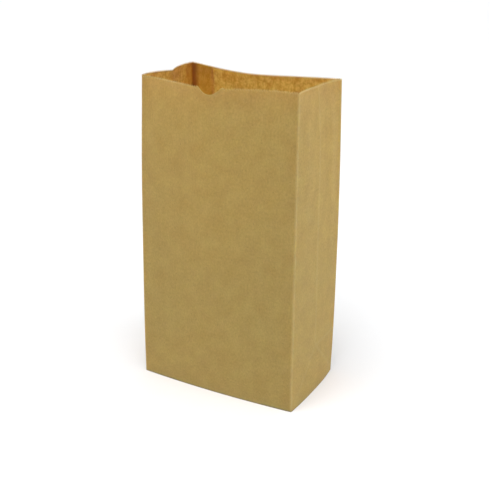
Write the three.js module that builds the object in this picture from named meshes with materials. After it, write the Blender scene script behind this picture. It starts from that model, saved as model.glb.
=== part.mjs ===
// Square-bottom paper bag of brown kraft paper, standing open and empty.
//
// One web of paper is folded into a tube: a front and a back panel with a gusset on
// each side, closed below by a flat rectangular bottom. The cut mouth has fine teeth
// and, in the middle of the front panel, a thumb notch. The bag has been folded flat
// and opened again, so its panels bow towards the mouth: the front one outwards to a
// soft ridge, the back one inwards, and the gussets keep a little of their crease.
//
// Millimetres, +Z up. X runs across the front panel and Y from the front to the back.
// The origin is on the ground, under the middle of the box round the whole bag.

import * as THREE from 'three';

// ---- Driving dimensions --------------------------------------------------

const WIDTH = 153.4;        // front and back panels, from fold to fold
const DEPTH = 92.6;         // the two gussets
const HEIGHT = 281;
const WALL = 0.6;           // stands for paper of 0.12 mm
const FLOOR = 1.2;          // the flaps of the bottom, folded over each other and glued
const FOOT_FOLD = 0.8;      // rounding of the fold round the bottom

const TEETH = 224;          // round the mouth, a pitch of 2.2 mm
const TOOTH_DEPTH = 1.5;
const NOTCH_WIDTH = 19.6;
const NOTCH_DEPTH = 6.3;

// The four corner folds, anticlockwise seen from above. side says which corner of the
// bottom it starts from, lean how far its upper end has moved from there, and soft how
// far the fold is rounded at the bottom and at the mouth.
const CORNERS = [
  { side: [-1, -1], lean: [2.1, -0.2], soft: [1, 1] },
  { side: [1, -1], lean: [-3.7, -3.2], soft: [1, 1] },
  { side: [1, 1], lean: [-5.2, -4.2], soft: [3.5, 1] },
  { side: [-1, 1], lean: [-1.6, -3.9], soft: [2, 1] },
];

// The panel that follows each corner, with values for the bottom and for the mouth:
// how far its middle line stands out, how far that line is rounded, and how far the
// halves of the panel before and after it bow out on their own.
const PANELS = [
  { name: 'front', out: [3, 17.3], soft: [14, 20], bows: [[0.7, -1.7], [0.7, -6.2]] },
  { name: 'right gusset', out: [2.1, -3.1], soft: [6, 2], bows: [[0.5, -0.9], [0.5, -1.7]] },
  { name: 'back', out: [2, -14.3], soft: [14, 16], bows: [[0.5, 1.8], [0.5, -3.7]] },
  { name: 'left gusset', out: [2, -5.1], soft: [6, 2], bows: [[0.5, 3.2], [0.5, 5.2]] },
];

// ---- How finely the skin is divided --------------------------------------

const FOLD_STEPS = 6;       // along one rounded line
const PANEL_STEPS = 6;      // along one half panel
const NOTCH_MARGIN = 4;     // between the notch and the highest plain ring below it
const LEVELS = [46, 92, 140, 188, 228, 256, HEIGHT - NOTCH_DEPTH - NOTCH_MARGIN];

// ---- The outline at one height -------------------------------------------

const mix = ([foot, lip], share) => foot + (lip - foot) * share;

// Points of the outer face at height z, anticlockwise from the front left corner. Every
// height gives the same number of points, so that rings can be joined point by point.
function outlineAt(z) {
  const rise = Math.max(z, 0) / HEIGHT;

  const folds = CORNERS.map(({ side, lean }) => new THREE.Vector2(
    side[0] * WIDTH / 2 + lean[0] * rise,
    side[1] * DEPTH / 2 + lean[1] * rise,
  ));

  // The corner folds and the panels' middle lines in turn, each with its rounding and
  // the bow of the half panel that follows.
  const lines = [];
  PANELS.forEach((panel, i) => {
    const start = folds[i];
    const end = folds[(i + 1) % folds.length];
    const middle = start.clone().add(end).divideScalar(2);
    middle.addScaledVector(outward(start, end), mix(panel.out, rise));
    const soft = [mix(CORNERS[i].soft, rise), mix(panel.soft, rise)];
    const bow = panel.bows.map((range) => mix(range, rise));
    lines.push({ at: start, soft: soft[0], bow: bow[0] });
    lines.push({ at: middle, soft: soft[1], bow: bow[1] });
  });

  const halves = lines.map((line, i) => {
    const next = lines[(i + 1) % lines.length];
    return halfPanel(line.at, next.at, line.bow);
  });

  const points = [];
  lines.forEach((line, i) => {
    const before = halves[(i + halves.length - 1) % halves.length];
    const after = halves[i];
    const next = lines[(i + 1) % lines.length];
    const first = line.soft / after.getLength();
    const last = 1 - next.soft / after.getLength();
    points.push(...roundedLine(before, after, line.soft));
    for (let step = 1; step < PANEL_STEPS; step += 1) {
      points.push(after.getPoint(mix([first, last], step / PANEL_STEPS)));
    }
  });
  return points;
}

// Unit vector that points out of the bag, for a stretch walked anticlockwise.
function outward(start, end) {
  return new THREE.Vector2(end.y - start.y, start.x - end.x).normalize();
}

// Half a panel, from one line to the next, bowed out in its middle.
function halfPanel(start, end, bow) {
  const crown = start.clone().add(end).divideScalar(2);
  crown.addScaledVector(outward(start, end), 2 * bow);
  return new THREE.QuadraticBezierCurve(start, crown, end);
}

// The line between two half panels, rounded so that the skin has no kink on either side.
function roundedLine(before, after, soft) {
  const leaves = 1 - soft / before.getLength();
  const joins = soft / after.getLength();
  const start = before.getPoint(leaves);
  const end = after.getPoint(joins);
  const reach = soft * 2 / 3;
  const curve = new THREE.CubicBezierCurve(
    start,
    start.clone().addScaledVector(before.getTangent(leaves), reach),
    end.clone().addScaledVector(after.getTangent(joins), -reach),
    end,
  );
  return curve.getPoints(FOLD_STEPS);
}

// The same outline moved inwards by a distance, square to the skin at each point.
function inset(points, distance) {
  return points.map((point, i) => {
    const before = points[(i + points.length - 1) % points.length];
    const after = points[(i + 1) % points.length];
    const first = outward(before, point);
    const second = outward(point, after);
    const bisector = first.clone().add(second).normalize();
    return point.clone().addScaledVector(bisector, -distance / bisector.dot(second));
  });
}

// ---- Places round the mouth ----------------------------------------------

// Share of the way round the bag, from 0 to 1, of each point of the mouth's outline.
function stationsOf(points) {
  const stations = [0];
  points.forEach((point, i) => {
    const next = points[(i + 1) % points.length];
    stations.push(stations[i] + point.distanceTo(next));
  });
  const round = stations[points.length];
  return stations.slice(0, -1).map((length) => length / round);
}

// The point of an outline at one station, on the straight piece between two others.
function pointAt(points, stations, station) {
  let i = stations.length - 1;
  while (stations[i] > station) {
    i -= 1;
  }
  const last = i === stations.length - 1;
  const next = last ? points[0] : points[i + 1];
  const share = (station - stations[i]) / ((last ? 1 : stations[i + 1]) - stations[i]);
  return points[i].clone().lerp(next, share);
}

// ---- Rings and the skin between them -------------------------------------

const positions = [];
const triangles = [];

// A ring is a closed row of points round the bag: their numbers and their stations.
function addRing(points, heights, stations) {
  const first = positions.length / 3;
  points.forEach((point, i) => positions.push(point.x, point.y, heights[i]));
  return { stations, numbers: points.map((_, i) => first + i) };
}

function flatRing(points, z, stations) {
  return addRing(points, points.map(() => z), stations);
}

// Covers the strip between two rings, which may have different numbers of points, by
// always taking the step that comes first on the way round.
function cover(lower, upper) {
  const stationAfter = (ring, i) => (i + 1 < ring.stations.length
    ? ring.stations[i + 1]
    : 1 + ring.stations[0]);
  const numberAt = (ring, i) => ring.numbers[i % ring.numbers.length];
  let low = 0;
  let high = 0;
  while (low < lower.numbers.length || high < upper.numbers.length) {
    const lowNext = low < lower.numbers.length ? stationAfter(lower, low) : Infinity;
    const highNext = high < upper.numbers.length ? stationAfter(upper, high) : Infinity;
    const corner = [numberAt(lower, low), numberAt(upper, high)];
    if (lowNext <= highNext) {
      low += 1;
      triangles.push(corner[0], numberAt(lower, low), corner[1]);
    } else {
      high += 1;
      triangles.push(corner[0], numberAt(upper, high), corner[1]);
    }
  }
}

// Closes a ring with a fan about one point in the middle of the bottom.
function addFan(ring, z, facesUp) {
  const middle = positions.length / 3;
  positions.push(0, 0, z);
  ring.numbers.forEach((number, i) => {
    const next = ring.numbers[(i + 1) % ring.numbers.length];
    triangles.push(...(facesUp ? [number, next, middle] : [next, number, middle]));
  });
}

// ---- The cut mouth -------------------------------------------------------

// How far the mouth is cut down at a distance from the middle of the front panel.
function notchCut(distance) {
  const share = distance / (NOTCH_WIDTH / 2);
  return Math.max(0, NOTCH_DEPTH * (1 - share * share));
}

// The edge of the mouth: each tooth has a tip and a valley, and the notch is smooth.
function mouthEdge(mouthStations) {
  const stations = [];
  const heights = [];
  const outlines = [];
  for (let i = 0; i < 2 * TEETH; i += 1) {
    const station = i / (2 * TEETH);
    const rough = pointAt(outlineAt(HEIGHT), mouthStations, station);
    const notch = rough.y < 0 ? notchCut(rough.x) : 0;
    const tooth = i % 2 ? 0 : TOOTH_DEPTH;
    const height = HEIGHT - Math.max(notch, tooth);
    stations.push(station);
    heights.push(height);
    outlines.push(pointAt(outlineAt(height), mouthStations, station));
  }
  return { stations, heights, outlines };
}

// ---- The bag -------------------------------------------------------------

function buildBag() {
  const stations = stationsOf(outlineAt(HEIGHT));
  const edge = mouthEdge(stations);

  // Outside, from the ground up.
  const sole = flatRing(inset(outlineAt(0), FOOT_FOLD), 0, stations);
  const outside = [
    sole,
    flatRing(outlineAt(FOOT_FOLD), FOOT_FOLD, stations),
    ...LEVELS.map((z) => flatRing(outlineAt(z), z, stations)),
    addRing(edge.outlines, edge.heights, edge.stations),
  ];

  // Over the cut edge and down the inside.
  const inside = [
    addRing(inset(edge.outlines, WALL), edge.heights, edge.stations),
    ...[...LEVELS].reverse().map((z) => flatRing(inset(outlineAt(z), WALL), z, stations)),
    flatRing(inset(outlineAt(FLOOR), WALL), FLOOR, stations),
  ];

  const rings = [...outside, ...inside];
  rings.slice(1).forEach((ring, i) => cover(rings[i], ring));
  addFan(sole, 0, false);
  addFan(rings.at(-1), FLOOR, true);

  const geometry = new THREE.BufferGeometry();
  geometry.setAttribute('position', new THREE.Float32BufferAttribute(positions, 3));
  geometry.setIndex(triangles);

  // The front panel reaches further out than the others, so the bag is moved until the
  // box round it is centred on the origin.
  geometry.computeBoundingBox();
  const middle = geometry.boundingBox.getCenter(new THREE.Vector3());
  geometry.translate(-middle.x, -middle.y, 0);
  geometry.computeVertexNormals();
  return geometry;
}

const kraftPaper = new THREE.MeshStandardMaterial({
  color: 0xb8996a,
  roughness: 0.85,
  metalness: 0,
});

const paperBag = new THREE.Group();
const bag = new THREE.Mesh(buildBag(), kraftPaper);
bag.name = 'bag';
paperBag.add(bag);

export default paperBag;
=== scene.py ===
# %% [markdown]
# # A square-bottom paper bag, from one web of kraft paper
# The bag is the brown one that lunches and groceries go into: one web of kraft paper,
# folded into a tube with two gussets, cut off with a toothed knife, and closed below by
# flaps that are folded over each other and glued. Here it stands open and empty.
#
# The lesson builds it in the order of the real machine: first the flat-sided tube, then
# the bottom, then the shape that the paper takes when somebody opens the bag, and last
# the paper itself, the light and the camera.

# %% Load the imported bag
import math

import bmesh
import bpy
from mathutils import Matrix, Vector, noise


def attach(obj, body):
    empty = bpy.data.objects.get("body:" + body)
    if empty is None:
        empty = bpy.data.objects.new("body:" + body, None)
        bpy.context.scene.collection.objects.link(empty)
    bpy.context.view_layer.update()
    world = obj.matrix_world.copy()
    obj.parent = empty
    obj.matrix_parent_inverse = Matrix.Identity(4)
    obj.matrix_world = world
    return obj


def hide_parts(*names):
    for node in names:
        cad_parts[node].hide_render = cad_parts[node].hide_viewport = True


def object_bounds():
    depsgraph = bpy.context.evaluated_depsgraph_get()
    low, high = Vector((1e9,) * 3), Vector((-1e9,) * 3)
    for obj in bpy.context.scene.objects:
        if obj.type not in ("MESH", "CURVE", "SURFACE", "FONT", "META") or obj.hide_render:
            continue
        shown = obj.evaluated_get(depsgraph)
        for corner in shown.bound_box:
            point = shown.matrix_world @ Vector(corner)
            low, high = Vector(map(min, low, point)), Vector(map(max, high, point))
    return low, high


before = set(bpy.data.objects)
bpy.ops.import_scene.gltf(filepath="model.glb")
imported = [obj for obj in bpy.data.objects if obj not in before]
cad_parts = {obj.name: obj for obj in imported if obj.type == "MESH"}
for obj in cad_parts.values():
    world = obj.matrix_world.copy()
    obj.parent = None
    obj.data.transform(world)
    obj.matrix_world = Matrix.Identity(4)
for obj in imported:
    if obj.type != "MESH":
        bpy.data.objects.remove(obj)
packed_low, packed_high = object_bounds()
print("packed bag, mm:", [round(side * 1000, 1) for side in packed_high - packed_low])

# %% [markdown]
# ## The sizes
# Blender works in metres, but paper is cut in millimetres, so everything below is worked
# out in millimetres and scaled once, at the end. The real paper is 0.12 mm thick. Here a
# ply is thicker, because a thinner one would show no cut edge in a picture of this size.

# %% Sizes of the paper, in millimetres
MM = 0.001
WIDTH = 153.4        # front and back panels, from fold to fold
DEPTH = 92.6         # each of the two gussets
HEIGHT = 281.0
PLY = 0.3
TOOTH_DEPTH = 1.8

# Each panel is divided into strips that run up the bag, two to a tooth of the mouth.
PANELS = ["front", "right gusset", "back", "left gusset"]
PANEL_STRIPS = {"front": 140, "right gusset": 84, "back": 140, "left gusset": 84}
STRIPS = sum(PANEL_STRIPS.values())
FIRST_STRIP = {}
for panel in PANELS:
    FIRST_STRIP[panel] = sum(PANEL_STRIPS[name] for name in PANELS[:PANELS.index(panel)])
STRIP_WIDTH = 2 * (WIDTH + DEPTH) / STRIPS
print(f"{STRIPS} strips of {STRIP_WIDTH:.2f} mm, teeth {2 * STRIP_WIDTH:.2f} mm apart")

# %% [markdown]
# ## The tube
# A bag machine folds the web round a flat former and glues its two long edges together.
# The same tube could be a cube without its top, but then the strips would have to be
# cut into it afterwards. A rectangle of four edges, divided and then pulled up one row
# at a time, gives every vertex a place on the flat paper from the start: the number of
# its strip, and its height. Both are kept on the vertices, because the later steps ask
# for them, and extruding copies them for free.

# %% A rectangle of edges, one for each strip
paper = bmesh.new()
strip_layer = paper.verts.layers.float.new("strip")
height_layer = paper.verts.layers.float.new("height")
reach_layer = paper.verts.layers.float.new("reach")

corners = [
    paper.verts.new((x * WIDTH / 2, y * DEPTH / 2, 0))
    for x, y in ((-1, -1), (1, -1), (1, 1), (-1, 1))
]
sides = [paper.edges.new((corners[i], corners[(i + 1) % 4])) for i in range(4)]
for side, panel in zip(sides, PANELS):
    bmesh.ops.subdivide_edges(paper, edges=[side], cuts=PANEL_STRIPS[panel] - 1)


def strip_at(x, y):
    """The strip number of a point on the rectangle, counted from the front left fold."""
    ways = {
        "front": (abs(y + DEPTH / 2), (x + WIDTH / 2) / WIDTH),
        "right gusset": (abs(x - WIDTH / 2), (y + DEPTH / 2) / DEPTH),
        "back": (abs(y - DEPTH / 2), (WIDTH / 2 - x) / WIDTH),
        "left gusset": (abs(x + WIDTH / 2), (DEPTH / 2 - y) / DEPTH),
    }
    panel = min(ways, key=lambda name: ways[name][0])
    return round(FIRST_STRIP[panel] + ways[panel][1] * PANEL_STRIPS[panel]) % STRIPS


for vert in paper.verts:
    vert[strip_layer] = strip_at(vert.co.x, vert.co.y)
print(len(paper.edges), "edges round the foot")

# %% [markdown]
# ## The rows
# Rows are close together near the foot, where the folds of the bottom cross the paper,
# and again at the mouth, where the teeth and the thumb notch are cut. Between them the
# paper only bends gently, and a few wide rows are enough.

# %% Pull the tube up, row by row
STACK = 1.2              # height of the folded bottom: the wall starts above it
CREASE_HEIGHT = DEPTH / 2
BAND_FOOT = 262.0        # the rows above this height make room for the notch
TOOTH_MARGIN = 1.0       # below the teeth, and then come the rows that follow them
CUT_BAND = 0.35          # width of the visible cut edge
ROW_STRETCHES = [        # where each stretch of rows ends, and how many rows it has
    (CREASE_HEIGHT, 20),
    (2 * CREASE_HEIGHT, 20),
    (BAND_FOOT, 38),
    (HEIGHT - TOOTH_DEPTH - TOOTH_MARGIN, 7),
]


def evenly(start, end, count):
    """Heights from start to end in equal steps, without start itself."""
    return [start + (end - start) * (i + 1) / count for i in range(count)]


rows = [STACK]
for end, count in ROW_STRETCHES:
    rows += evenly(rows[-1], end, count)
rows += [HEIGHT - CUT_BAND, HEIGHT]

foot_edges = list(paper.edges)
for vert in paper.verts:
    vert.co.z = STACK
ring = foot_edges
for row in rows[1:]:
    pulled = bmesh.ops.extrude_edge_only(paper, edges=ring)["geom"]
    ring = [item for item in pulled if isinstance(item, bmesh.types.BMEdge)]
    for item in pulled:
        if isinstance(item, bmesh.types.BMVert):
            item.co.z = row
for vert in paper.verts:
    vert[height_layer] = vert.co.z
print(len(rows), "rows,", len(paper.faces), "faces in the tube")

# %% [markdown]
# ## The bottom
# Below the foot line the tube goes on for 58 mm, and that part becomes the bottom: the
# gussets fold in flat first, as tucks, and the front and back flaps close over them with
# ends that slant at 45 degrees and free edges that overlap by 24 mm. Each flap is the
# foot line of its own panel, pulled round a small fold and then inwards. The flaps lie a
# ply above each other, because paper that shares one plane would flicker.

# %% Helpers for the flaps
FLAP_OVERLAP = 24.0
FLAP = (DEPTH + FLAP_OVERLAP) / 2
FLAP_ROWS = 6
FOLD_RADIUS = 0.4
FOLD_TURNS = (0, 30, 60, 90)     # degrees of the small fold round the foot
LEVELS = {"back": 0.0, "front": 0.35, "right gusset": 0.7, "left gusset": 0.7}
INWARD = {
    "front": Vector((0, 1, 0)),
    "right gusset": Vector((-1, 0, 0)),
    "back": Vector((0, -1, 0)),
    "left gusset": Vector((1, 0, 0)),
}


def edges_of(panel):
    """The foot edges that belong to one panel."""
    low = FIRST_STRIP[panel]
    high = low + PANEL_STRIPS[panel]
    chosen = []
    for edge in foot_edges:
        numbers = sorted(round(vert[strip_layer]) for vert in edge.verts)
        if numbers[1] - numbers[0] > 1:
            numbers = [numbers[1], STRIPS]
        if low <= numbers[0] and numbers[1] <= high:
            chosen.append(edge)
    return chosen


def pull_flap(edges, inward, reach, level, slant):
    """One more row of a flap: reach from the foot line, at a height, with slanted ends."""
    pulled = bmesh.ops.extrude_edge_only(paper, edges=edges)["geom"]
    verts = [item for item in pulled if isinstance(item, bmesh.types.BMVert)]
    along = Vector((abs(inward.y), abs(inward.x), 0))
    half = (WIDTH if along.x else DEPTH) / 2
    across = (DEPTH if along.x else WIDTH) / 2
    for vert in verts:
        place = along * vert.co.dot(along)
        if slant:
            place = place * (half - reach) / (half - vert[reach_layer])
        vert.co = place + inward * (reach - across)
        vert.co.z = level
        vert[reach_layer] = reach
        vert[height_layer] = -reach
    return [item for item in pulled if isinstance(item, bmesh.types.BMEdge)]


# %% Fold the four flaps
for panel in PANELS:
    edges = edges_of(panel)
    inward = INWARD[panel]
    slant = "gusset" not in panel
    for turn in FOLD_TURNS:
        angle = math.radians(turn)
        reach = FOLD_RADIUS * (1 - math.cos(angle))
        drop = FOLD_RADIUS * (1 - math.sin(angle))
        edges = pull_flap(edges, inward, reach, drop, slant)
    for reach in evenly(FOLD_RADIUS, FLAP, FLAP_ROWS):
        edges = pull_flap(edges, inward, reach, LEVELS[panel], slant)
print(f"flaps of {FLAP:.0f} mm, free edges of {WIDTH - 2 * FLAP:.0f} mm")

# %% [markdown]
# ## The opened shape
# A bag that has been opened by hand isn't a box. Paper doesn't stretch, so its panels
# stay ruled: every strip is nearly a straight line from the foot to the mouth, and the
# shape is settled by two outlines. Each outline runs over eight lines, the four corner
# folds and the four middles, and the half panel between two of them is a curve with its
# own bow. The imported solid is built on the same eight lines.

# %% The eight lines that carry the shape
# side is the corner of the rectangle, lean how far the fold has moved at the mouth, soft
# its rounding at the foot and at the mouth, belly how far it stands out half way up, and
# rim how far the mouth stands above its mean height there.
CORNERS = [
    {"side": (-1, -1), "lean": (2.1, -0.2), "soft": (0.8, 0.8), "belly": (-1.4, 0), "rim": 0.6},
    {"side": (1, -1), "lean": (-3.7, -3.2), "soft": (0.8, 0.8), "belly": (0, 0), "rim": 0.7},
    {"side": (1, 1), "lean": (-5.2, -4.2), "soft": (3.5, 0.8), "belly": (2.1, 0), "rim": -0.6},
    {"side": (-1, 1), "lean": (-1.6, -3.9), "soft": (2, 0.8), "belly": (-0.6, 0), "rim": 1.1},
]
# out is how far the middle stands out and soft its rounding, at the foot and at the mouth,
# and bows how far the two halves of the panel bow out on their own.
MIDDLES = [
    {"out": (3, 17.3), "soft": (14, 20), "bows": ((0.7, -1.7), (0.7, -6.2)), "rim": -0.9},
    {"out": (2.1, -3.1), "soft": (6, 2), "bows": ((0.5, -0.9), (0.9, -1.7)), "rim": -0.2},
    {"out": (2, -14.3), "soft": (14, 16), "bows": ((0.5, 1.8), (0.5, -3.7)), "rim": -1.7},
    {"out": (2, -5.1), "soft": (6, 2), "bows": ((0.5, 3.2), (0.5, 5.2)), "rim": 0.0},
]
LINES = len(CORNERS) + len(MIDDLES)
print("front middle stands out by", MIDDLES[0]["out"][1], "mm at the mouth")


def mix(pair, share):
    """Between two numbers: the first at a share of 0, the second at 1."""
    return pair[0] + (pair[1] - pair[0]) * share


def smooth(share):
    """The same share, but with a gentle start and end."""
    return share * share * (3 - 2 * share)


def outward(start, end):
    """Unit vector that points out of the bag, for a stretch walked anticlockwise."""
    return Vector((end.y - start.y, start.x - end.x)).normalized()


# %% [markdown]
# A half panel is a quadratic curve, drawn by three points, and a rounded line is a cubic
# one, drawn by four, that joins two half panels without a kink. Both are sampled finely
# and then walked in equal steps, because a strip of paper keeps its width wherever it goes.

# %% Curves of the outline
LENGTH_STEPS = 16        # straight pieces by which the length of a curve is measured


def quadratic(points, t):
    a, b, c = points
    return a * (1 - t) ** 2 + b * 2 * t * (1 - t) + c * t ** 2


def cubic(points, t):
    a, b, c, d = points
    u = 1 - t
    return a * u ** 3 + b * 3 * t * u ** 2 + c * 3 * t ** 2 * u + d * t ** 3


def slope(points, t):
    """Direction of a quadratic curve at t."""
    a, b, c = points
    return ((b - a) * (1 - t) + (c - b) * t).normalized()


def half_panel(start, end, bow):
    """The three points of a curve that bows out by a distance in its middle."""
    crown = (start + end) / 2 + outward(start, end) * 2 * bow
    return start, crown, end


def length_of(curve):
    points = [quadratic(curve, i / LENGTH_STEPS) for i in range(LENGTH_STEPS + 1)]
    return sum((b - a).length for a, b in zip(points, points[1:]))


flat_half = half_panel(Vector((0, 0)), Vector((WIDTH / 2, 0)), 0)
bowed_half = half_panel(Vector((0, 0)), Vector((WIDTH / 2, 0)), 5)
print(f"a bow of 5 mm needs {length_of(bowed_half) - length_of(flat_half):.2f} mm more paper")


# %% Rounded lines, and a walk in equal steps
ROUND_STEPS = 12         # points on half a rounded line
HALF_STEPS = 40          # points on half a panel


def rounded_line(before, after, soft):
    """The four points of the curve that rounds the line between two half panels."""
    leaves = 1 - soft / length_of(before)
    joins = soft / length_of(after)
    start = quadratic(before, leaves)
    end = quadratic(after, joins)
    reach = soft * 2 / 3
    return start, start + slope(before, leaves) * reach, end - slope(after, joins) * reach, end


def walk(points, count):
    """count points at equal steps along a polyline, from its start, without its end."""
    lengths = [0.0]
    for a, b in zip(points, points[1:]):
        lengths.append(lengths[-1] + (b - a).length)
    places = []
    i = 0
    for step in range(count):
        target = lengths[-1] * step / count
        while lengths[i + 1] < target:
            i += 1
        share = (target - lengths[i]) / (lengths[i + 1] - lengths[i])
        places.append(points[i].lerp(points[i + 1], share))
    return places


# %% The outline at the foot and at the mouth
def corner_place(corner):
    """Place of a corner of the rectangle, before the bag is opened."""
    x, y = corner["side"]
    return Vector((x * WIDTH / 2, y * DEPTH / 2))


def lines_at(rise):
    """The eight lines as (place, rounding, bow of the half panel that follows)."""
    folds = [corner_place(corner) + Vector(corner["lean"]) * rise for corner in CORNERS]
    lines = []
    for i, (corner, middle) in enumerate(zip(CORNERS, MIDDLES)):
        start, end = folds[i], folds[(i + 1) % 4]
        place = (start + end) / 2 + outward(start, end) * mix(middle["out"], rise)
        lines.append((start, mix(corner["soft"], rise), mix(middle["bows"][0], rise)))
        lines.append((place, mix(middle["soft"], rise), mix(middle["bows"][1], rise)))
    return lines


def outline(rise):
    """One point for each strip, anticlockwise from the front left fold."""
    lines = lines_at(rise)
    halves = []
    for i, (place, _, bow) in enumerate(lines):
        halves.append(half_panel(place, lines[(i + 1) % LINES][0], bow))
    rounds = []
    for i, (_, soft, _) in enumerate(lines):
        rounds.append(rounded_line(halves[i - 1], halves[i], soft))
    points = []
    for i, half in enumerate(halves):
        after = (i + 1) % LINES
        length = length_of(half)
        between = (lines[i][1] / length, 1 - lines[after][1] / length)
        path = []
        for step in range(ROUND_STEPS):
            path.append(cubic(rounds[i], mix((0.5, 1), step / ROUND_STEPS)))
        for step in range(HALF_STEPS + 1):
            path.append(quadratic(half, mix(between, step / HALF_STEPS)))
        for step in range(ROUND_STEPS):
            path.append(cubic(rounds[after], mix((0, 0.5), (step + 1) / ROUND_STEPS)))
        points += walk(path, PANEL_STRIPS[PANELS[i // 2]] // 2)
    return points


foot = outline(0)
mouth = outline(1)
print("mouth from", [round(min(p[k] for p in mouth), 1) for k in (0, 1)],
      "to", [round(max(p[k] for p in mouth), 1) for k in (0, 1)])

# %% [markdown]
# ## Creases and small unevenness
# Besides the four corner folds, the bag has the creases that let it lie flat: one up the
# middle of each gusset, two that slant down from its foot to both lower corners, and one
# across the back, at half the depth of the bottom, where the folded bottom used to lie
# against the back panel. In an opened bag they are shallow, so each is a dent or a ridge
# of a few tenths of a millimetre that fades out sideways.

# %% Shallow creases
CREASE_SPREAD = 3.0
CREASE_DEPTHS = {"right gusset": 0.10, "left gusset": 0.30, "back": 0.45}


def gusset_place(strip):
    """Distance behind the middle of a gusset, or None on the front and back panels."""
    right = FIRST_STRIP["right gusset"]
    left = FIRST_STRIP["left gusset"]
    half = PANEL_STRIPS["right gusset"] / 2
    if right <= strip <= FIRST_STRIP["back"]:
        return (strip - right - half) * STRIP_WIDTH
    if strip >= left or strip == 0:
        return (half - ((strip or STRIPS) - left)) * STRIP_WIDTH
    return None


def crease_lines(strip, z):
    """Pairs of distance to a crease, and its depth: negative for one that dents inwards."""
    behind = gusset_place(strip)
    found = []
    if behind is not None:
        on_right = 0 < strip <= FIRST_STRIP["back"]
        depth = CREASE_DEPTHS["right gusset" if on_right else "left gusset"]
        slanted = abs(z - (CREASE_HEIGHT - abs(behind))) / math.sqrt(2)
        found.append((slanted, -depth))
        if z > CREASE_HEIGHT:
            found.append((abs(behind), -depth))
        if behind > 0:
            found.append((abs(z - CREASE_HEIGHT), depth))
    elif FIRST_STRIP["back"] <= strip <= FIRST_STRIP["left gusset"]:
        found.append((abs(z - CREASE_HEIGHT), -CREASE_DEPTHS["back"]))
    return found


def crease_relief(strip, z):
    """How far a point stands out by all the creases near it."""
    return sum(depth * math.exp(-gap / CREASE_SPREAD) for gap, depth in crease_lines(strip, z))


tuck_middle = FIRST_STRIP["left gusset"] + PANEL_STRIPS["left gusset"] // 2
print(f"left gusset, middle crease: {crease_relief(tuck_middle, HEIGHT / 2):.2f} mm")

# %% [markdown]
# Handling leaves marks too. Next to the front left fold the mouth is pinched inwards, and
# so is the gusset beside the back right fold. Paper that has taken up some moisture also
# cockles: it goes gently wavy, over a few centimetres, by a fraction of a millimetre. And
# the hand that pulled the bag open left its panels a little proud below the mouth.

# %% Pinches beside two folds
PINCHES = [
    {"fold": 0, "way": 1, "depth": 1.85},
    {"fold": FIRST_STRIP["back"], "way": -1, "depth": 1.0},
]
PINCH_REACH = 6.0        # from the fold to the deepest place
PINCH_STRIPS = 60        # past which nothing is left of it
PINCH_FADE = 70.0        # down from the mouth


def pinch_relief(strip, z):
    """Inward dents beside a fold, strongest at the mouth."""
    relief = 0.0
    for pinch in PINCHES:
        steps = (strip - pinch["fold"]) * pinch["way"]
        if 0 < steps < PINCH_STRIPS:
            share = steps * STRIP_WIDTH / PINCH_REACH
            fade = math.exp((z - HEIGHT) / PINCH_FADE)
            relief -= pinch["depth"] * share * math.exp(1 - share) * fade
    return relief


deepest = min(pinch_relief(strip, HEIGHT) for strip in range(STRIPS))
print(f"deepest pinch: {deepest:.2f} mm")


# %% Cockling
COCKLE = 0.35
COCKLE_SIZE = 42.0
COCKLE_SQUASH = 0.6      # the waves are longer up the bag than round it
COCKLE_FOOT = 30.0       # below this height the folded bottom holds them down
NOISE_SEED = Vector((3.7, 11.2, 5.1))


def cockle_relief(strip, z):
    """Gentle waves, over a ring, so that the last strip meets the first one."""
    turn = 2 * math.pi * strip / STRIPS
    ring = STRIPS * STRIP_WIDTH / (2 * math.pi) / COCKLE_SIZE
    rise = COCKLE_SQUASH * z / COCKLE_SIZE
    place = Vector((ring * math.cos(turn), ring * math.sin(turn), rise))
    held = min(1.0, z / COCKLE_FOOT)
    return COCKLE * held * noise.noise(place + NOISE_SEED)


waves = [cockle_relief(strip, HEIGHT / 2) for strip in range(STRIPS)]
print(f"cockling half way up: {min(waves):.2f} to {max(waves):.2f} mm")


# %% Full panels and the edge of the lap
FULLNESS = {"front": 16.0, "right gusset": 13.0, "back": 5.0}
FULL_FOOT = 110.0        # the panels are full above this height
FULL_EDGE = 22.0         # distance from a fold at which they are
LAP_STRIPS = 26
LAP_END = FIRST_STRIP["left gusset"]
LAP_STEP = 0.25          # how far it stands proud at its outer edge
LAP_SPREAD = 18.0        # and over what distance that fades out


def full_relief(strip, z):
    """A panel stands proud below the mouth and leans back to it, but not at its folds."""
    share = (z - FULL_FOOT) / (HEIGHT - FULL_FOOT)
    if share <= 0:
        return 0.0
    for panel, depth in FULLNESS.items():
        steps = strip - FIRST_STRIP[panel]
        from_fold = min(steps, PANEL_STRIPS[panel] - steps) * STRIP_WIDTH
        if from_fold > 0:
            across = smooth(min(1.0, from_fold / FULL_EDGE))
            return depth * share * share * (1 - share) * across
    return 0.0


def lap_relief(strip):
    """The outer ply of the lap ends just before the fold, so it stands a little proud."""
    before = LAP_END - 1 - strip
    if before < 0:
        return 0.0
    return LAP_STEP * math.exp(-before * STRIP_WIDTH / LAP_SPREAD)


fullest = max(full_relief(PANEL_STRIPS["front"] // 2, z) for z in rows)
print(f"front panel, fullness: {fullest:.2f} mm")
print(f"lap: {LAP_STRIPS * STRIP_WIDTH:.1f} mm wide")

# %% [markdown]
# ## The cut mouth
# The knife that cuts bags off the tube has teeth, so the mouth is a fine zigzag all the
# way round. A punch takes a thumb notch out of the middle of the front panel, so that
# the bag can be opened with one hand. Here the top row follows that edge, and the rows
# below it give way gradually.

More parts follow.
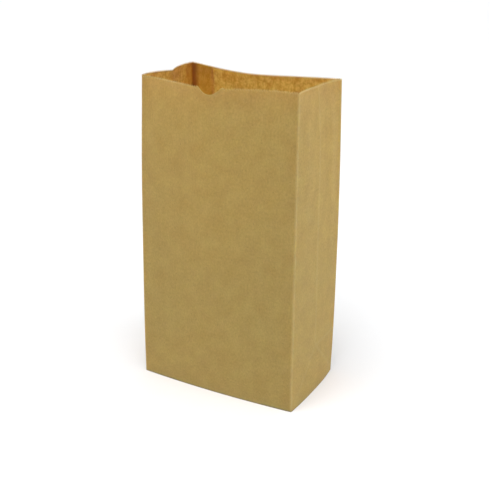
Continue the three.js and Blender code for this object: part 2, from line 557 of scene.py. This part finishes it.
# %% Height of the cut edge
NOTCH_WIDTH = 21.2
NOTCH_DEPTH = 6.3
NOTCH_MIDDLE = PANEL_STRIPS["front"] / 2 + 0.5
RIM_HEIGHTS = []         # at the eight lines, and at the first one again
RIM_STRIPS = []
for panel, corner, middle in zip(PANELS, CORNERS, MIDDLES):
    RIM_HEIGHTS += [corner["rim"], middle["rim"]]
    RIM_STRIPS += [FIRST_STRIP[panel], FIRST_STRIP[panel] + PANEL_STRIPS[panel] / 2]
RIM_HEIGHTS.append(RIM_HEIGHTS[0])
RIM_STRIPS.append(STRIPS)


def rim_offset(strip):
    """How far the mouth stands above or below its mean height at a strip."""
    i = max(k for k in range(LINES) if RIM_STRIPS[k] <= strip)
    share = (strip - RIM_STRIPS[i]) / (RIM_STRIPS[i + 1] - RIM_STRIPS[i])
    return mix(RIM_HEIGHTS[i:i + 2], smooth(share))


def notch_cut(strip):
    """Depth of the thumb notch at a strip: a shallow arc across the front middle."""
    across = (strip - NOTCH_MIDDLE) * STRIP_WIDTH
    share = across / (NOTCH_WIDTH / 2)
    return NOTCH_DEPTH * max(0.0, 1 - share * share)


def cut_height(strip, z):
    """Where a point at height z of the uncut strip ends up."""
    lifted = z + rim_offset(strip) * z / HEIGHT
    if z <= BAND_FOOT:
        return lifted
    band = (z - BAND_FOOT) / (HEIGHT - BAND_FOOT)
    lifted -= notch_cut(strip) * band
    from_notch = abs(strip - NOTCH_MIDDLE) * STRIP_WIDTH - NOTCH_WIDTH / 2
    if z > HEIGHT - TOOTH_MARGIN and strip % 2 and from_notch > STRIP_WIDTH:
        lifted -= TOOTH_DEPTH
    return lifted


rim = [cut_height(strip, HEIGHT) for strip in range(STRIPS)]
print(f"mouth between {min(rim):.1f} and {max(rim):.1f} mm high")

# %% [markdown]
# ## Open the bag
# Now every vertex goes to its place: along its strip between the two outlines, out or in
# by its relief. The flaps only follow the foot line near their fold and stay flat on the
# ground.

# %% The place of every point of the wall
RELIEF_FOOT = 8.0        # below this height the small unevenness fades out


def normal_at(points, strip):
    return outward(points[(strip - 1) % STRIPS], points[(strip + 1) % STRIPS])


def folds_round(strip):
    """The corners before and after a strip, and its share of the way between them."""
    i = max(k for k, panel in enumerate(PANELS) if FIRST_STRIP[panel] <= strip)
    share = (strip - FIRST_STRIP[PANELS[i]]) / PANEL_STRIPS[PANELS[i]]
    return CORNERS[i], CORNERS[(i + 1) % 4], share


def belly_at(strip):
    """The folds' own bulge, shared out between one fold and the next."""
    before, after, share = folds_round(strip)
    return Vector(before["belly"]).lerp(Vector(after["belly"]), share)


def wall_place(strip, z):
    """Place of a point of the wall."""
    top = cut_height(strip, z)
    rise = top / HEIGHT
    place = foot[strip].lerp(mouth[strip], rise)
    place += belly_at(strip) * 4 * rise * (1 - rise)
    normal = normal_at(foot, strip).lerp(normal_at(mouth, strip), rise).normalized()
    relief = crease_relief(strip, z) + pinch_relief(strip, z)
    relief += full_relief(strip, z) + cockle_relief(strip, z) + lap_relief(strip)
    place += normal * relief * min(1.0, z / RELIEF_FOOT)
    return place.to_3d() + Vector((0, 0, top))


def straight_place(strip):
    """Place of a strip on the straight rectangle of the foot."""
    before, after, share = folds_round(strip)
    return corner_place(before).lerp(corner_place(after), share)


# %% Move the paper
for vert in paper.verts:
    strip = round(vert[strip_layer])
    z = vert[height_layer]
    if z >= 0 and not vert[reach_layer]:
        vert.co = wall_place(strip, z)
    else:
        fade = 1 - vert[reach_layer] / FLAP
        drawn = (foot[strip] - straight_place(strip)) * fade
        vert.co += drawn.to_3d()
print("opened:", [round(max(v.co[k] for v in paper.verts), 1) for k in range(3)])

# %% [markdown]
# ## Where the paper is worn or cut, and where light and shade are painted
# A material can only follow a crease or a cut edge if the mesh tells it where they are.
# Numbers on each vertex do that. On the front and the right gusset the cut edge is light:
# partly its fluffed fibres, partly a painted highlight where the edge catches the light. On
# the back and the left gusset the top of the wall is painted dark, as painted shade of a rim
# seen from its unlit side. The folds are lighter: partly rubbed paper, partly a painted
# highlight. Along the back left fold, inside, the paper is painted brown, as painted shade in
# that deep corner beside the lap. The last number says how near an edge or a fold is: there,
# light that goes a long way inside the sheet would escape, more than it does from real paper.
#
# A map of the flat web, in metres, goes along as the piece's UV map, so that the grain of
# the paper turns every corner as the real one does.

# %% Marks of the folds: worn lighter, with a painted highlight
FOLD_STRIPS = 2          # worn strips with a painted highlight on each side of a corner fold
FOLD_BAND = 1.5          # worn width with a painted highlight beside the fold round the foot
CREASE_BAND = 2.0
CREASE_LIGHTENING = 0.4


def from_corner(strip):
    """Strips to the nearest corner fold, either way round the bag."""
    gaps = [abs(strip - FIRST_STRIP[panel]) for panel in PANELS]
    return min(min(gap, STRIPS - gap) for gap in gaps)


def fold_mark(strip, z):
    """1 on a corner fold or the foot fold, less on the shallow creases."""
    mark = max(0.0, 1 - from_corner(strip) / FOLD_STRIPS)
    mark = max(mark, 1 - abs(z - FOLD_RADIUS) / FOLD_BAND)
    for gap, _ in crease_lines(strip, z):
        mark = max(mark, CREASE_LIGHTENING * (1 - gap / CREASE_BAND))
    return min(1.0, mark)


print("mark beside a corner fold:", fold_mark(1, HEIGHT / 2))


# %% Marks of the lap and of the shade painted in its corner, counted in strips
SHADE_ON_GUSSET = 14      # the painted shade fades out over these strips of the gusset
SHADE_ON_BACK = 4         # it is even over these strips of the back panel,
SHADE_FADE = 6            # and fades out over these
LAP_FADE = 4


def corner_shade_mark(strip):
    """1 where shade is painted inside the back left fold, beside the lap."""
    past = strip - LAP_END
    if past >= 0:
        return max(0.0, 1 - past / SHADE_ON_GUSSET)
    return max(0.0, 1 - max(0, -past - SHADE_ON_BACK) / SHADE_FADE)


def lap_mark(strip):
    """1 where two plies lie on each other, fading at the lap's inner edge."""
    inside = strip - (LAP_END - LAP_STRIPS)
    if inside < -1 or strip > LAP_END:
        return 0.0
    return min(1.0, (inside + 1) / LAP_FADE)


print("strips with glue:", sum(corner_shade_mark(strip) > 0 for strip in range(STRIPS)))


# %% Nearness to an edge, and the edges themselves
RIM_SPREAD = 16.0
FOLD_SPREAD = 5.0
FOLD_SHARE = 0.5         # a fold holds light back half as much as the rim
BACKED = 3.0             # on the flaps, which lie on each other and let nothing through
RIM_SHADE_BAND = 3.0       # painted shade at the rim reaches down to here


def near_edge(strip, z):
    """How near the cut edge or a fold is, for the way that light goes in the sheet."""
    near_rim = math.exp(-max(0.0, HEIGHT - z) / RIM_SPREAD)
    near_fold = math.exp(-from_corner(strip) * STRIP_WIDTH / FOLD_SPREAD)
    return max(near_rim, FOLD_SHARE * near_fold)


def edge_marks(strip, z):
    """Mark of the light cut edge, with a painted highlight, and of the painted shade at the far
    rim.
    """
    below = HEIGHT - z
    # back and left gusset: painted shade at the rim; front and right gusset: lighter cut fibres
    # with a painted highlight
    if strip > FIRST_STRIP["back"]:
        return 0.0, max(0.0, 1 - below / RIM_SHADE_BAND)
    on_the_edge = below < CUT_BAND / 2
    return float(on_the_edge), 0.0


print("marks of the front edge:", edge_marks(0, HEIGHT))

# %% Write the marks on the vertices
marks = paper.verts.layers.float
cut_highlight_layer = marks.new("cut_edge_highlight")
rim_shade_layer = marks.new("rim_shade")
fold_layer = marks.new("fold")
corner_shade_layer = marks.new("corner_shade")
lap_layer = marks.new("lap")
edge_layer = marks.new("near_edge")

for vert in paper.verts:
    strip = round(vert[strip_layer])
    z = vert[height_layer]
    vert[fold_layer] = fold_mark(strip, z)
    vert[edge_layer] = BACKED if vert[reach_layer] else near_edge(strip, z)
    vert[corner_shade_layer] = corner_shade_mark(strip)
    vert[lap_layer] = lap_mark(strip)
    vert[cut_highlight_layer], vert[rim_shade_layer] = edge_marks(strip, z)
print("vertices on a worn fold:", sum(vert[fold_layer] > 0 for vert in paper.verts))

# %% The map of the flat web
web_map = paper.loops.layers.uv.new("web")
for face in paper.faces:
    strips = [round(vert[strip_layer]) for vert in face.verts]
    meets_first = max(strips) - min(strips) > STRIPS / 2
    for loop in face.loops:
        strip = round(loop.vert[strip_layer])
        if meets_first and strip == 0:
            strip = STRIPS
        loop[web_map].uv = (strip * STRIP_WIDTH * MM, loop.vert[height_layer] * MM)
print(f"flat web: {STRIPS * STRIP_WIDTH:.0f} mm wide, {HEIGHT + FLAP:.0f} mm long")

# %% [markdown]
# ## Two sides for the sheet
# So far the paper has no thickness. Its faces are turned outwards first, because the
# Solidify modifier grows the ply inwards from the face that is modelled. Then the bag is
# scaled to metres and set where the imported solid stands: both are built on the same
# lines, so the middle of one box goes to the middle of the other.
#
# Where the two edges of the web meet, they overlap by 29 mm and are glued. The lap lies on
# the back panel, next to its left fold, and is two plies thick: a vertex group tells the
# modifier where. Inside the bag its edge shows as the line at which less light comes
# through. A second sheet of faces could stand for the second ply, but glued paper is one
# body, and light that enters it on one side has to reach the other.

# %% Turn the faces outwards
paper.normal_update()
inside_out = []
for face in paper.faces:
    way_out = face.calc_center_median()
    way_out.z = 0
    if max(vert[reach_layer] for vert in face.verts) > 0:
        way_out = Vector((0, 0, -1))
    if face.normal.dot(way_out) < 0:
        inside_out.append(face)
    face.smooth = True
bmesh.ops.reverse_faces(paper, faces=inside_out)
print(len(inside_out), "faces turned round")

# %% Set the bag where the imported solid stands
outline_points = foot + mouth
own_middle = Vector((0, 0, 0))
for k in (0, 1):
    ends = min(p[k] for p in outline_points), max(p[k] for p in outline_points)
    own_middle[k] = sum(ends) / 2 * MM
packed_middle = (packed_low + packed_high) / 2
packed_middle.z = 0
shift = packed_middle - own_middle
bmesh.ops.scale(paper, vec=(MM, MM, MM), verts=paper.verts)
bmesh.ops.translate(paper, vec=shift, verts=paper.verts)
print("bag moved by mm:", [round(value / MM, 2) for value in shift])

# %% The mesh, and its thickness
paper.verts.index_update()
lap_verts = [
    vert.index for vert in paper.verts
    if LAP_END - LAP_STRIPS <= vert[strip_layer] <= LAP_END and not vert[reach_layer]
]


def new_piece(name, shape):
    """An object from a bmesh, which is freed."""
    mesh = bpy.data.meshes.new(name)
    shape.to_mesh(mesh)
    shape.free()
    piece = bpy.data.objects.new(name, mesh)
    bpy.context.scene.collection.objects.link(piece)
    return piece


bag = new_piece("kraft_bag", paper)
lap = bag.vertex_groups.new(name="glued lap")
lap.add(lap_verts, 1.0, "REPLACE")
ply = bag.modifiers.new("ply", "SOLIDIFY")
ply.thickness = 2 * PLY * MM
ply.vertex_group = lap.name
ply.thickness_vertex_group = 0.5     # one ply of the two, everywhere but on the lap
ply.offset = -1                      # inwards
ply.use_even_offset = True
ply.use_quality_normals = True
ply.thickness_clamp = 1
print(len(lap_verts), "vertices carry two plies")

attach(bag, "root")
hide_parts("bag")

# %% [markdown]
# ## Kraft paper
# Unbleached kraft paper is made of long softwood fibres that keep their brown lignin. Its
# colour isn't even: held against the light it shows clouds of one or two centimetres,
# where the fibres clumped as the water drained off, and close up it shows the fibres
# themselves, most of them along the direction in which the web ran. It has no coating,
# so it is matt, and a single ply lets some warm light through.
#
# The colours could be painted as a picture, but a picture has one resolution. Noise that
# is scaled in millimetres stays sharp from any distance.

# %% Helpers for materials
def linear(hex_colour):
    """An sRGB hex colour as the linear values that shaders take."""
    values = []
    for i in (0, 2, 4):
        part = int(hex_colour[i:i + 2], 16) / 255
        values.append(part / 12.92 if part <= 0.04045 else ((part + 0.055) / 1.055) ** 2.4)
    return (*values, 1.0)


def add(tree, kind, inputs=None, **settings):
    """Adds a node with its settings. Each input takes a value, or another node's output."""
    node = tree.nodes.new(kind)
    for name, value in settings.items():
        setattr(node, name, value)
    for name, value in (inputs or {}).items():
        if isinstance(value, bpy.types.NodeSocket):
            tree.links.new(value, node.inputs[name])
        else:
            node.inputs[name].default_value = value
    return node


def new_material(name):
    material = bpy.data.materials.new(name)
    material.use_nodes = True
    material.node_tree.nodes.clear()
    return material, material.node_tree


print("mid grey in linear light:", round(linear("808080")[0], 3))


# %% Helpers for the pulp's patterns
def pattern(tree, web, size, stretch, detail):
    """Noise whose grains are size mm across the web and stretch times as long along it."""
    scale = (1 / (size * MM), 1 / (size * stretch * MM), 1)
    place = add(tree, "ShaderNodeMapping", {"Vector": web, "Scale": scale})
    grain = add(tree, "ShaderNodeTexNoise", {
        "Vector": place.outputs["Vector"],
        "Scale": 1.0,
        "Detail": detail,
        "Roughness": 0.55,
    }, noise_dimensions="2D")
    return grain.outputs["Fac"]


def work_out(tree, operation, *values):
    """One step of arithmetic on numbers or outputs."""
    inputs = dict(enumerate(values))
    return add(tree, "ShaderNodeMath", inputs, operation=operation).outputs[0]


def weigh(tree, value, weight, rest):
    """rest + (value - 0.5) * weight."""
    spread = work_out(tree, "SUBTRACT", value, 0.5)
    return work_out(tree, "MULTIPLY_ADD", spread, weight, rest)


def blend(tree, amount, first, second):
    """first where amount is 0, second where it is 1."""
    inputs = {"Factor": amount, 6: first, 7: second}
    return add(tree, "ShaderNodeMix", inputs, data_type="RGBA").outputs[2]


def mark_of(tree, name):
    """A mark that the mesh carries."""
    return add(tree, "ShaderNodeAttribute", attribute_name=name).outputs["Fac"]


def marked(tree, colour, name, weight, hex_colour):
    """The colour, turned towards another by weight where the mesh carries the mark."""
    amount = work_out(tree, "MULTIPLY", mark_of(tree, name), weight)
    return blend(tree, amount, colour, linear(hex_colour))


# %% [markdown]
# Both sides of the sheet are the same pulp, so one function makes both. The outside was
# pressed smooth against the drying cylinder. The inside is the rougher wire side, and as
# it is seen against the light, its thin and thick spots show much more strongly: the light
# inside the sheet does part of that, and the stronger tone of the spots on that side is
# painted light for the rest. Two plies also take in the light differently from one, so
# the lap is painted a colour of its own, as painted shade and tint where two plies let
# less light through.

# %% Patterns in the pulp, and their colours
PATTERNS = {             # width in millimetres, length for each width, and detail
    "clouds": (13.0, 1.2, 2),    # clumps of fibres, seen from afar
    "clumps": (5.0, 1.2, 3),     # thin and thick spots, which show against the light
    "fibres": (1.6, 1.4, 3),     # really 0.03 mm wide, drawn coarse enough to show
    "streaks": (4.0, 25, 1),     # marks of the wire, drawn out along the web
    "flecks": (1.6, 1.3, 1),     # dark specks of bark
}
CLOUD_TONE = 0.75
STREAK_TONE = 0.12
BARK = "7A5A2C"
BARK_RANGE = (0.72, 0.78)    # a fleck shows only where its pattern is this high
BARK_SHARE = 0.3
print("patterns, mm wide:", {name: values[0] for name, values in PATTERNS.items()})


def pulp(tree):
    """Each pattern's output, laid on the flat web."""
    web = add(tree, "ShaderNodeUVMap", uv_map="web").outputs["UV"]
    return {name: pattern(tree, web, *values) for name, values in PATTERNS.items()}


def pulp_colour(tree, grown, light, dark, clumps, grain):
    """The colour of the pulp, before it is worn, cut or glued."""
    tone = weigh(tree, grown["clouds"], CLOUD_TONE, 0.5)
    tone = weigh(tree, grown["clumps"], clumps, tone)
    tone = weigh(tree, grown["fibres"], grain, tone)
    tone = weigh(tree, grown["streaks"], STREAK_TONE, tone)
    colour = blend(tree, tone, linear(dark), linear(light))
    speck = add(tree, "ShaderNodeMapRange", {
        "Value": grown["flecks"],
        "From Min": BARK_RANGE[0],
        "From Max": BARK_RANGE[1],
        "To Max": BARK_SHARE,
    }).outputs["Result"]
    return blend(tree, speck, colour, linear(BARK))


# %% [markdown]
# Light doesn't stop at the face of a sheet: it goes on inside, turns, and comes out again
# nearby or on the other side. That is subsurface scattering, and it is what makes the
# back panel glow where the lamp behind it shines through. A translucent shader on a thin
# shell would let light through as well, but it wouldn't spread in the sheet. Here the way
# of the light follows the thick and thin spots, and is shorter beside an edge.

# %% The way of the light inside the sheet
LIGHT_WAY = 4.0          # mm
LEAST_WAY = 0.05         # share of it that is left where plies back each other


def light_way(tree, grown, passage, held):
    """How far light goes: further in thin spots, less beside an edge or a fold."""
    share = work_out(tree, "MULTIPLY_ADD", mark_of(tree, "near_edge"), -held, 1.0)
    share = work_out(tree, "MAXIMUM", share, LEAST_WAY)
    way = weigh(tree, grown["clumps"], passage * MM, LIGHT_WAY * MM)
    return work_out(tree, "MULTIPLY", share, way)


# %% The kraft paper, one material for each side
# wear and painted light: lighter folds (rubbed paper and a painted highlight), the light cut
# edge (lighter fibres and a painted highlight) and painted shade at the far rim
WEAR_AND_PAINTED_LIGHT = {                 # how strongly a mark shows, and its colour
    "fold": (0.25, "E0C490"),
    "cut_edge_highlight": (0.65, "E6BE88"),
    "rim_shade": (0.55, "5A4020"),
}
LAP_SHARE = 0.5
# colour of the shade painted inside the back left fold
CORNER_SHADE_COLOUR = "7A4404"
NAP = 0.12               # mm by which clouds and fibres stand out


def kraft_paper(name, light, dark, lap_shade_tint, clumps, grain, corner_shade, passage, held):
    """clumps, grain, glue, passage and held say how much of each this side shows; the third is
    the strength of the shade painted along the back left fold.
    """
    material, tree = new_material(name)
    grown = pulp(tree)
    colour = pulp_colour(tree, grown, light, dark, clumps, grain)
    for mark, (share, mark_colour) in WEAR_AND_PAINTED_LIGHT.items():
        colour = marked(tree, colour, mark, share, mark_colour)
    # the lap's own colour is painted shade and tint for the light that two plies let through
    # less
    colour = marked(tree, colour, "lap", LAP_SHARE, lap_shade_tint)
    # painted shade along the back left fold, inside the bag
    colour = marked(tree, colour, "corner_shade", corner_shade, CORNER_SHADE_COLOUR)

    relief = weigh(tree, grown["clouds"], 0.6, 0.0)
    relief = weigh(tree, grown["fibres"], 0.4, relief)
    bump = add(tree, "ShaderNodeBump", {
        "Height": relief, "Distance": NAP * MM, "Strength": 0.6,
    }).outputs["Normal"]
    shader = add(tree, "ShaderNodeBsdfPrincipled", {
        "Base Color": colour,
        "Roughness": 0.82,       # uncoated, so it has no gloss to speak of
        "IOR": 1.47,             # cellulose
        "Subsurface Weight": 1.0,
        "Subsurface Radius": (1.0, 0.62, 0.30),      # the pulp takes in blue, so red goes on
        "Subsurface Scale": light_way(tree, grown, passage, held),
        "Normal": bump,
    })
    add(tree, "ShaderNodeOutputMaterial", {"Surface": shader.outputs[0]})
    return material


bag.data.materials.append(kraft_paper(
    "unbleached kraft paper",
    light="CB9D57", dark="B18647", lap_shade_tint="B8A85D",
    clumps=0.3, grain=1.2, corner_shade=0.0, passage=1.0, held=0.5,
))
# On the wire side the tone of thin and thick spots is strong: partly the pulp, partly painted
# light for the light that shines through them.
bag.data.materials.append(kraft_paper(
    "unbleached kraft paper, wire side",
    light="C99D5F", dark="A77C40", lap_shade_tint="BA9C02",
    clumps=2.2, grain=2.3, corner_shade=0.78, passage=4.5, held=0.32,
))
ply.material_offset = 1
print("materials of the bag:", [material.name for material in bag.data.materials])

# %% [markdown]
# ## The studio
# The bag stands on a white sweep that is lit until it has no tone of its own, with only
# a trace of shadow round the foot. Most of the light comes from a wide bank of lamps high
# in front, and a smaller one overhead. A weak bank behind the bag shines into its mouth
# and through the back panel. A soft box on the right, cooler than the rest, makes the
# gusset lighter than the front. Banks are suns with a wide angle, because they light the
# floor evenly however far it reaches.
#
# The camera sees a pure white room, but the room itself gives the bag little light: a
# white glow from all sides would take the shape out of it.

# %% Floor
FLOOR_SIZE = 40.0        # metres, so that no edge of it comes into view
FLOOR_GAP = 0.05 * MM    # below the bag, so that the two don't share a plane

sweep = bmesh.new()
bmesh.ops.create_grid(sweep, x_segments=1, y_segments=1, size=FLOOR_SIZE / 2)
bmesh.ops.translate(sweep, vec=(0, 0, -FLOOR_GAP), verts=sweep.verts)
floor = new_piece("studio_floor", sweep)

laminate, tree = new_material("matt white laminate")
shader = add(tree, "ShaderNodeBsdfPrincipled", {
    "Base Color": linear("F1F2F3"),
    "Roughness": 0.9,        # matt, so that the bag isn't mirrored in it
    "IOR": 1.5,
})
add(tree, "ShaderNodeOutputMaterial", {"Surface": shader.outputs[0]})
floor.data.materials.append(laminate)
print("floor, metres:", [round(side, 2) for side in floor.dimensions])

# %% World
ROOM_LIGHT = 0.02

world = bpy.data.worlds.new("white room")
world.use_nodes = True
tree = world.node_tree
tree.nodes.clear()
seen = add(tree, "ShaderNodeLightPath").outputs["Is Camera Ray"]
strength = add(tree, "ShaderNodeMix", {"Factor": seen, "A": ROOM_LIGHT, "B": 1.0}).outputs[0]
room = add(tree, "ShaderNodeBackground", {"Color": (1, 1, 1, 1), "Strength": strength})
add(tree, "ShaderNodeOutputWorld", {"Surface": room.outputs[0]})
bpy.context.scene.world = world
bpy.context.scene.view_settings.view_transform = "Standard"
print("the room gives the bag", ROOM_LIGHT, "of the white that the camera sees")


# %% Lamps
def aim(thing, place, target):
    """Sets a lamp at a place and turns it to a target."""
    turned = (target - place).to_track_quat("-Z", "Y").to_matrix().to_4x4()
    thing.matrix_world = Matrix.Translation(place) @ turned


def round_about(turn, height, distance):
    """A place seen from the bag: turn in degrees from the front towards the right."""
    turn = math.radians(turn)
    height = math.radians(height)
    level = Vector((math.sin(turn), -math.cos(turn), 0)) * math.cos(height)
    return (level + Vector((0, 0, math.sin(height)))) * distance


def add_lamp(name, kind, power, place, target, size, colour="FFFFFF"):
    data = bpy.data.lights.new(name, kind)
    data.energy = power
    data.color = linear(colour)[:3]
    if kind == "AREA":
        data.shape = "DISK"
        data.size = size
    else:
        data.angle = size
    lamp = bpy.data.objects.new(name, data)
    bpy.context.scene.collection.objects.link(lamp)
    aim(lamp, place, target)


HEART = Vector((0, 0, 0.14))
OVERHEAD = Vector((0, 0, 3))
add_lamp("overhead", "SUN", 1.05, OVERHEAD, HEART, math.radians(50))
add_lamp("front bank", "SUN", 2.7, round_about(5, 65, 3) + HEART, HEART, math.radians(60))
add_lamp("back bank", "SUN", 0.27, round_about(180, 50, 3) + HEART, HEART, math.radians(50))
add_lamp("right box", "AREA", 6.2, round_about(95, 15, 1.6) + HEART, HEART, 0.9, "EEF6FF")
print("lamps:", [light.name for light in bpy.data.lights])

# %% [markdown]
# ## The camera
# The picture was taken from a little above and from the front right. The values below
# come from matching the bag's corners with a box of its size: turn and tilt of the view,
# distance, and how far the bag stands off the middle of the frame.

# %% Camera
VIEW_TURN = math.radians(27.373)
VIEW_TILT = math.radians(20.411)
VIEW_ROLL = math.radians(1.290)
VIEW_DISTANCE = 762.6    # mm, as are the next two
VIEW_RIGHT = 2.90
VIEW_UP = -11.9
FOCAL_LENGTH = 61.71
SENSOR_WIDTH = 36.0

back = Vector((
    math.sin(VIEW_TURN) * math.cos(VIEW_TILT),
    -math.cos(VIEW_TURN) * math.cos(VIEW_TILT),
    math.sin(VIEW_TILT),
))
right = Vector((math.cos(VIEW_TURN), math.sin(VIEW_TURN), 0))
up = back.cross(right)
place = Vector((0, 0, HEIGHT / 2)) + back * VIEW_DISTANCE + right * VIEW_RIGHT + up * VIEW_UP
camera_right = right * math.cos(VIEW_ROLL) + up * math.sin(VIEW_ROLL)
camera_up = back.cross(camera_right)
turned = Matrix((camera_right, camera_up, back)).transposed().to_4x4()

lens = bpy.data.cameras.new("camera")
lens.lens = FOCAL_LENGTH
lens.sensor_width = SENSOR_WIDTH
camera = bpy.data.objects.new("camera", lens)
bpy.context.scene.collection.objects.link(camera)
camera.matrix_world = Matrix.Translation(place * MM + shift) @ turned
bpy.context.scene.camera = camera
print("camera at", [round(value, 3) for value in camera.location])
